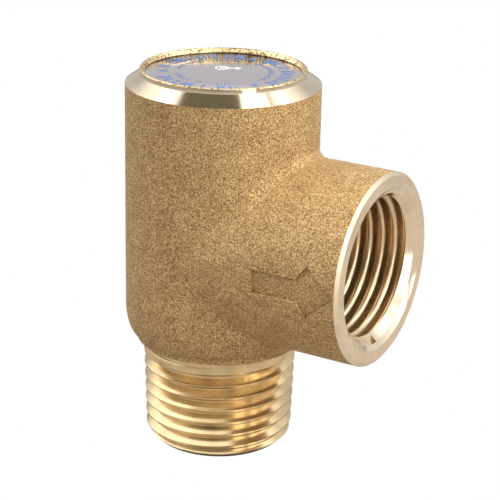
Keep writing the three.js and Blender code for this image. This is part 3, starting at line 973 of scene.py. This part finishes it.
class VALVE_OT_disc_stack(bpy.types.Operator):
    """Build the disc holder, seat disc, washer, nut and guide stem"""

    bl_idname = "relief_valve.disc_stack"
    bl_label = "Disc Stack"

    def execute(self, context):
        self.holder()
        self.seat_disc()
        self.washer()
        self.nut()
        self.stem()
        return {"FINISHED"}

    def holder(self):
        outer, low, top = HOLDER_HIGH.x, HOLDER_LOW.z, HOLDER_HIGH.z
        shoulder, hub = SPRING_LOW.z - GAP, 4.2 * MM
        roof, cup = DISC_HIGH.z + GAP, DISC_HIGH.x + 0.1 * MM
        bm = turned([
            (SHANK_HOLE, roof), (cup, roof), (cup, low), (outer, low), (outer, shoulder - 0.4 * MM),
            (outer - 0.4 * MM, shoulder), (hub, shoulder), (hub, top - 0.3 * MM),
            (hub - 0.3 * MM, top), (SHANK_HOLE, top),
        ])
        piece(softened(bm, 0.08 * MM), "disc_holder_cup", ["Turned brass"], "poppet",
              ["disc_holder"])

    def seat_disc(self):
        bm = softened(pierced(DISC_LOW, DISC_HIGH), 0.2 * MM, 3)
        piece(bm, "seat_disc_rubber", ["Moulded rubber"], "poppet", ["seat_disc"])

    def washer(self):
        bm = softened(pierced(WASHER_LOW, WASHER_HIGH), 0.12 * MM)
        piece(bm, "disc_washer_plate", ["Turned steel"], "poppet", ["disc_washer"])

    def nut(self):
        corner, low, top = NUT_HIGH.x, NUT_LOW.z, NUT_HIGH.z
        bm = bmesh.new()
        rotate(bm, prism(bm, 6, corner, top - low), TAU / 12)
        move(bm, bm.verts, 0, 0, (top + low) / 2)
        flat, round_out, drop = corner * 0.86, corner * 1.02, 0.5 * MM
        dome = turned([(0, low), (flat, low), (round_out, low + drop), (round_out, top - drop),
                       (flat, top), (0, top)], 96)
        bm = crossed(closed(bm), dome)
        hole = turned([(0, low - MM), (SHANK_HOLE, low - MM), (SHANK_HOLE, top + MM),
                       (0, top + MM)], 64)
        piece(cut(bm, hole), "disc_nut_hex", ["Turned steel"], "poppet",
              ["disc_nut"])

    def stem(self):
        low, top = STEM_LOW.z, STEM_HIGH.z
        collar_low = HOLDER_HIGH.z + GAP
        collar_top = collar_low + 1.2 * MM
        collar, shank, radius = STEM_HIGH.x, 1.75 * MM, 2.0 * MM
        bm = turned([
            (0, low), (shank - 0.3 * MM, low), (shank, low + 0.3 * MM), (shank, collar_low),
            (collar, collar_low), (collar, collar_top), (radius, collar_top),
            (radius, top - 0.4 * MM), (radius - 0.4 * MM, top), (0, top),
        ], 96)
        piece(softened(bm, 0.1 * MM), "guide_stem_rod", ["Turned steel"], "poppet",
              ["guide_stem"])


# ---------------------------------------------------------------- spring and adjuster
class VALVE_OT_spring(bpy.types.Operator):
    """Build the compression spring at the length of its frame part; the real spring shortens as the
    poppet lifts
    """

    bl_idname = "relief_valve.spring"
    bl_label = "Spring"

    def execute(self, context):
        wire = 1.5 * MM
        low, top = SPRING_LOW.z, SPRING_HIGH.z
        middle = SPRING_HIGH.x - wire / 2
        closed_rise = wire * 1.04
        first = low + wire * 0.15
        active = top - wire * 0.15 - first - 2 * closed_rise
        active_turns = max(1, round(active / (2.45 * MM)))
        bm = bmesh.new()
        round_section(bm, 16, wire / 2, middle, first)
        end = list(bm.verts) + list(bm.edges)
        stretches = ((1, closed_rise), (active_turns, active), (1, closed_rise))
        for turns, rise in stretches:
            steps = 64 * turns
            end = bmesh.ops.spin(bm, geom=end, cent=(0, 0, 0), axis=UP, dvec=UP * rise / steps,
                                 angle=TAU * turns, steps=steps)["geom_last"]
        bmesh.ops.remove_doubles(bm, verts=bm.verts, dist=1e-8)
        bmesh.ops.holes_fill(bm, edges=[e for e in bm.edges if e.is_boundary], sides=0)
        slab = turned([(0, low), (middle + wire, low), (middle + wire, top), (0, top)], 64)
        coil = piece(crossed(closed(bm), slab), "spring_coil", ["Spring wire"], "spring_seat",
                     ["spring"])
        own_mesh(coil)
        return {"FINISHED"}


class VALVE_OT_adjuster(bpy.types.Operator):
    """Build the spring seat, adjusting plug, its ring and the lock ring"""

    bl_idname = "relief_valve.adjuster"
    bl_label = "Adjuster"

    def execute(self, context):
        self.spring_seat()
        self.plug()
        self.ring()
        self.lock_ring()
        return {"FINISHED"}

    def spring_seat(self):
        outer, low, top = SEAT_HIGH.x, SEAT_LOW.z, SEAT_HIGH.z
        flange, hole, hub = SPRING_HIGH.z + GAP, 2.2 * MM, 4.2 * MM
        bm = turned([
            (hole, low), (hub - 0.3 * MM, low), (hub, low + 0.3 * MM), (hub, flange),
            (outer, flange), (outer, top - 0.3 * MM), (outer - 0.3 * MM, top), (hole, top),
        ])
        piece(softened(bm, 0.08 * MM), "spring_seat_washer", ["Turned brass"], "spring_seat",
              ["spring_seat"])

    def plug(self):
        thread = settings().threads
        nose, guide = 8.95 * MM, 2.2 * MM
        low, top = PLUG_LOW.z, PLUG_HIGH.z
        nose_top = top - 4.2 * MM
        groove_wall = 7.45 * MM
        groove_low = (RING_LOW.z + RING_HIGH.z) / 2 - 0.9 * MM
        groove_top = groove_low + 1.8 * MM
        turns = math.ceil((top - nose_top) / thread.plug_pitch) + 3
        rod = threaded_rod(thread.plug_crest, thread.plug_depth, thread.plug_pitch,
                           nose_top - 2 * thread.plug_pitch, turns, face_material=0)
        slab = turned([(0, nose_top - 0.1 * MM), (11 * MM, nose_top - 0.1 * MM),
                       (11 * MM, top - 0.9 * MM), (10.1 * MM, top), (0, top)], 96)
        bm = joined(crossed(rod, slab), turned([
            (0, low), (nose - 0.4 * MM, low), (nose, low + 0.4 * MM), (nose, groove_low),
            (groove_wall, groove_low), (groove_wall, groove_top), (nose, groove_top),
            (nose, nose_top), (0, nose_top),
        ]))
        bm = cut(bm, turned([(0, low - MM), (guide, low - MM), (guide, top - 1.4 * MM),
                             (0, top - 1.0 * MM)], 64))
        for side in (-1, 1):
            hole = turned([(0, top - 2.0 * MM), (1.2 * MM, top - 1.7 * MM), (1.2 * MM, top + MM),
                           (0, top + MM)], 48)
            move(hole, hole.verts, side * 4.2 * MM, 0, 0)
            bm = cut(bm, hole)
        piece(bm, "adjusting_plug_turned", ["Turned brass"], "adjusting_plug",
              ["adjusting_plug"])

    def ring(self):
        section = (RING_HIGH.z - RING_LOW.z) / 2
        bm = bmesh.new()
        round_section(bm, 24, section, RING_HIGH.x - section, RING_LOW.z + section)
        bmesh.ops.spin(bm, geom=list(bm.verts) + list(bm.edges), cent=(0, 0, 0), axis=UP,
                       angle=TAU, steps=128, use_merge=True)
        piece(closed(bm), "plug_ring_seal", ["Moulded rubber"], "adjusting_plug",
              ["plug_ring"])

    def lock_ring(self):
        thread = settings().threads
        low, top = LOCK_LOW.z, LOCK_HIGH.z
        rod = threaded_rod(thread.plug_crest, thread.plug_depth, thread.plug_pitch,
                           low - 2 * thread.plug_pitch, 6, face_material=0)
        hole, crown, outer = 5.6 * MM, 9.4 * MM, 10.2 * MM
        blank = turned([(hole, low), (crown, low), (outer, low + 0.5 * MM),
                        (outer, top - 0.5 * MM), (crown, top), (hole, top)], 128)
        slot = bmesh.new()
        block(slot, (25 * MM, 2.4 * MM, 1.6 * MM), 0, 0, top)
        piece(cut(crossed(rod, blank), slot), "lock_ring_turned", ["Turned brass"], "body",
              ["lock_ring"])


# ---------------------------------------------------------------- stage
def camera_axes():
    """Right, up and back of the camera, and its place."""
    stage = settings().stage
    turn, rise, roll = stage.azimuth, stage.elevation, stage.roll
    back = Vector((math.sin(turn) * math.cos(rise), -math.cos(turn) * math.cos(rise),
                   math.sin(rise)))
    right = Vector((math.cos(turn), math.sin(turn), 0))
    above = back.cross(right)
    leaned = right * math.cos(roll) + above * math.sin(roll)
    upright = above * math.cos(roll) - right * math.sin(roll)
    place = Vector((stage.target_x, 0, stage.target_z)) + back * stage.distance
    return leaned, upright, back, place


def add_camera():
    right, above, back, place = camera_axes()
    data = bpy.data.cameras.new("product_camera")
    data.lens = settings().stage.lens
    data.sensor_width = 36
    data.clip_start, data.clip_end = 0.01, 20
    camera = bpy.data.objects.new("product_camera", data)
    bpy.context.collection.objects.link(camera)
    camera.matrix_world = Matrix((
        (right.x, above.x, back.x, place.x),
        (right.y, above.y, back.y, place.y),
        (right.z, above.z, back.z, place.z),
        (0, 0, 0, 1),
    ))
    bpy.context.scene.camera = camera


def white_to_camera(made, shader, plain, output):
    """Shows the camera a plain shader, and every other ray the shaded one."""
    choose = made.add("MixShader")
    seen = made.add("LightPath").outputs["Is Camera Ray"]
    for socket, value in zip(choose.inputs, (seen, shader.outputs[0], plain.outputs[0])):
        made.feed(socket, value)
    made.fill(output, Surface=choose.outputs[0])


def studio_world():
    """Cards of light and dark for the reflections, in front of a plain white backdrop."""
    world = bpy.data.worlds.new("Studio")
    world.use_nodes = True
    made = Nodes(world.node_tree)
    direction = made.add("TexCoord").outputs["Generated"]
    turn = settings().stage.azimuth
    axes = {"right": (math.cos(turn), math.sin(turn), 0),
            "front": (math.sin(turn), -math.cos(turn), 0), "up": (0, 0, 1)}
    parts = {}
    for name, axis in axes.items():
        dot = made.add("VectorMath", operation="DOT_PRODUCT")
        made.feed(dot.inputs[0], direction)
        made.feed(dot.inputs[1], axis)
        parts[name] = dot.outputs["Value"]
    ceiling_place = made.math("MULTIPLY_ADD", parts["right"], 0.5, 0.5)
    card_place = made.math("MULTIPLY_ADD", parts["front"], 0.5, 0.5)
    ceiling = made.ramp(
        ceiling_place, (0.0, 2.1), (0.285, 2.1), (0.315, (0.17, 0.15, 0.12)),
        (0.40, (0.17, 0.17, 0.12)), (0.58, (0.16, 0.14, 0.115)), (0.59, (3.0, 2.85, 2.5)),
        (0.685, (3.0, 2.85, 2.5)), (0.695, (0.42, 0.40, 0.38)), (0.725, 2.1), (1.0, 2.1),
    )
    around = made.math("ARCTAN2", parts["right"], parts["front"])
    horizon_place = made.math("MULTIPLY_ADD", around, 1 / TAU, 0.5)
    horizon = made.ramp(
        horizon_place, *((turn / 360 + 0.5, value) for turn, value in (
            (-180, 0.60), (-150, 0.60), (-125, 1.8), (-100, 1.4), (-62, 1.0), (-45, 0.30),
            (-10, 0.18), (15, 0.30), (30, 0.9), (45, 0.9), (47, 0.3), (52, 0.3), (54, 3.2),
            (66, 3.2), (67, 0.4), (71, 0.4), (73, 2.4), (95, 1.3), (115, 0.85), (130, 0.85),
            (150, 0.60), (180, 0.60),
        )),
    )
    card = made.ramp(card_place, (0.25, 1.0), (0.29, 0.0), (0.54, 0.0), (0.58, 1.0))
    ceiling = made.mix(card, ceiling, rgba((1.5, 1.45, 1.35)))
    height = made.ramp(parts["up"], (0.50, 0.0), (0.78, 1.0))
    light = made.mix(height, horizon, ceiling)
    nodes = world.node_tree.nodes
    background = made.fill(nodes["Background"], Color=light, Strength=1.0)
    plain = made.add("Background", Color=(1, 1, 1, 1))
    white_to_camera(made, background, plain, nodes["World Output"])
    bpy.context.scene.world = world


def add_floor():
    """Table under the valve: white to the camera, a dull grey in reflections."""
    bm = bmesh.new()
    bmesh.ops.create_grid(bm, x_segments=1, y_segments=1, size=1.5)
    move(bm, bm.verts, 0, 0, -0.02 * MM)
    mesh = bpy.data.meshes.new("studio_floor")
    bm.to_mesh(mesh)
    bm.free()
    material = bpy.data.materials.new("Pale table")
    material.use_nodes = True
    made = Nodes(material.node_tree)
    nodes = material.node_tree.nodes
    shader = made.fill(nodes["Principled BSDF"], Base_Color=(0.32, 0.30, 0.29, 1), Roughness=0.9,
                       Specular_IOR_Level=0.0)
    lit = made.add("Emission", Strength=1.0, Color=(1, 1, 1, 1))
    white_to_camera(made, shader, lit, nodes["Material Output"])
    mesh.materials.append(material)
    floor = bpy.data.objects.new("studio_floor", mesh)
    bpy.context.collection.objects.link(floor)


def add_light(name, place, aim, size, watts, tint, glossy):
    data = bpy.data.lights.new(name, "AREA")
    data.shape = "RECTANGLE"
    data.size, data.size_y = size
    data.energy = watts
    data.color = tint
    light = bpy.data.objects.new(name, data)
    bpy.context.collection.objects.link(light)
    light.location = place
    light.visible_glossy = glossy
    light.rotation_euler = (Vector(aim) - Vector(place)).to_track_quat("-Z", "Y").to_euler()


class VALVE_OT_stage(bpy.types.Operator):
    """Set up the camera, the table and the soft studio light"""

    bl_idname = "relief_valve.stage"
    bl_label = "Stage"

    def execute(self, context):
        context.scene.view_settings.view_transform = "Standard"
        add_camera()
        studio_world()
        add_floor()
        right = camera_axes()[0]
        aim = Vector((0, 0, 0.03))
        turn = settings().stage.azimuth
        front = Vector((math.sin(turn), -math.cos(turn), 0))
        key = aim + right * 0.19 + front * 0.15 + UP * 0.38
        add_light("key_softbox", key, aim, (0.04, 0.04), 2.3, (1.0, 0.96, 0.84), False)
        card = right * 0.085 + front * 0.126 + UP * 0.10
        add_light("side_card", card, (0, 0, card.z), (0.045, 0.2), 0.045, (1.0, 0.97, 0.92), True)
        return {"FINISHED"}


class VALVE_PT_panel(bpy.types.Panel):
    """Buttons that build the valve piece by piece"""

    bl_label = "Relief Valve"
    bl_idname = "VALVE_PT_panel"
    bl_space_type = "VIEW_3D"
    bl_region_type = "UI"
    bl_category = "Relief Valve"

    def draw(self, context):
        layout = self.layout
        for step in STEPS:
            layout.operator(step.bl_idname)
        sizes = settings()
        for group in (sizes.casting, sizes.threads, sizes.plate_print, sizes.finishes,
                      sizes.stage):
            box = layout.box()
            for key in group.bl_rna.properties.keys():
                if key not in {"rna_type", "name"}:
                    box.prop(group, key)


STEPS = (VALVE_OT_stage, VALVE_OT_body, VALVE_OT_nameplate, VALVE_OT_disc_stack,
         VALVE_OT_spring, VALVE_OT_adjuster)
CLASSES = (CastingSizes, ThreadSizes, PlatePrint, Finishes, StageSetup, ValveSettings, *STEPS,
           VALVE_PT_panel)


def register():
    for made in CLASSES:
        bpy.utils.register_class(made)
    bpy.types.Scene.relief_valve = bpy.props.PointerProperty(type=ValveSettings)


def unregister():
    del bpy.types.Scene.relief_valve
    for made in reversed(CLASSES):
        bpy.utils.unregister_class(made)


def main():
    register()
    bpy.ops.relief_valve.stage()
    bpy.ops.relief_valve.body()
    bpy.ops.relief_valve.nameplate()
    bpy.ops.relief_valve.disc_stack()
    bpy.ops.relief_valve.spring()
    bpy.ops.relief_valve.adjuster()


if __name__ == "__main__":
    main()
